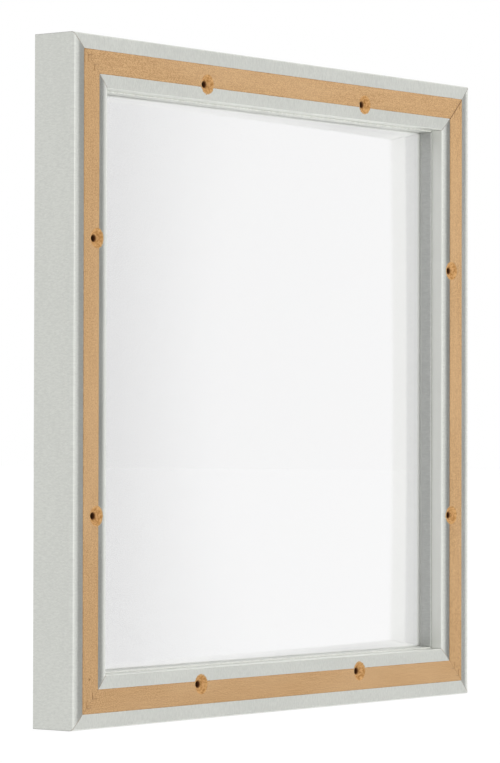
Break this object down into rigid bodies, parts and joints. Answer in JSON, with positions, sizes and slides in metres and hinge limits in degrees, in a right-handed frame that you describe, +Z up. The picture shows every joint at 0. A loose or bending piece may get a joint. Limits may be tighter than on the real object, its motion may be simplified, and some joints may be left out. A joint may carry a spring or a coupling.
{
  "type": "jersey display frame",
  "caption": "Square foil-wrapped box frame, open at the back, with mitred rails, bare strips with countersunk screw pits, and a loose clear pane held by removable spacer strips.",
  "frame": {"origin": "centre of the frame's footprint, on the surface it stands on", "axes": "+Z up, +Y out of the open back, -Y out of the front, +X to the right as seen from the front"},
  "size_m": [0.5, 0.038, 0.5],
  "materials": {
    "fibreboard": "bare sawn fibreboard, light brown with fine fibres and specks",
    "foil": "satin silver-grey metallised foil wrap with a fine crinkle across the rail",
    "spacer_foil": "satin darker silver-grey foil face",
    "nail_steel": "dark oiled spring steel",
    "clear_acrylic": "clear polished acrylic sheet"
  },
  "bodies": {
    "frame": {"rail_core_top": "fibreboard", "rail_core_right": "fibreboard", "rail_core_bottom": "fibreboard", "rail_core_left": "fibreboard", "foil_wrap_top": "foil", "foil_wrap_right": "foil", "foil_wrap_bottom": "foil", "foil_wrap_left": "foil", "v_nail_top_right_outer": "nail_steel", "v_nail_top_right_inner": "nail_steel", "v_nail_bottom_right_outer": "nail_steel", "v_nail_bottom_right_inner": "nail_steel", "v_nail_bottom_left_outer": "nail_steel", "v_nail_bottom_left_inner": "nail_steel", "v_nail_top_left_outer": "nail_steel", "v_nail_top_left_inner": "nail_steel"},
    "glazing": {"glazing_pane": "clear_acrylic"},
    "spacer_top": {"spacer_strip_top": "spacer_foil"},
    "spacer_right": {"spacer_strip_right": "spacer_foil"},
    "spacer_bottom": {"spacer_strip_bottom": "spacer_foil"},
    "spacer_left": {"spacer_strip_left": "spacer_foil"}
  },
  "joints": [
    {"name": "glazing_lift_out", "type": "slide", "parent": "frame", "child": "glazing", "axis": [0, 1, 0], "range_m": [0, 0.06]},
    {"name": "spacer_top_lift_out", "type": "slide", "parent": "glazing", "child": "spacer_top", "axis": [0, 1, 0], "range_m": [0, 0.04]},
    {"name": "spacer_right_lift_out", "type": "slide", "parent": "glazing", "child": "spacer_right", "axis": [0, 1, 0], "range_m": [0, 0.04]},
    {"name": "spacer_bottom_lift_out", "type": "slide", "parent": "glazing", "child": "spacer_bottom", "axis": [0, 1, 0], "range_m": [0, 0.04]},
    {"name": "spacer_left_lift_out", "type": "slide", "parent": "glazing", "child": "spacer_left", "axis": [0, 1, 0], "range_m": [0, 0.04]}
  ]
}
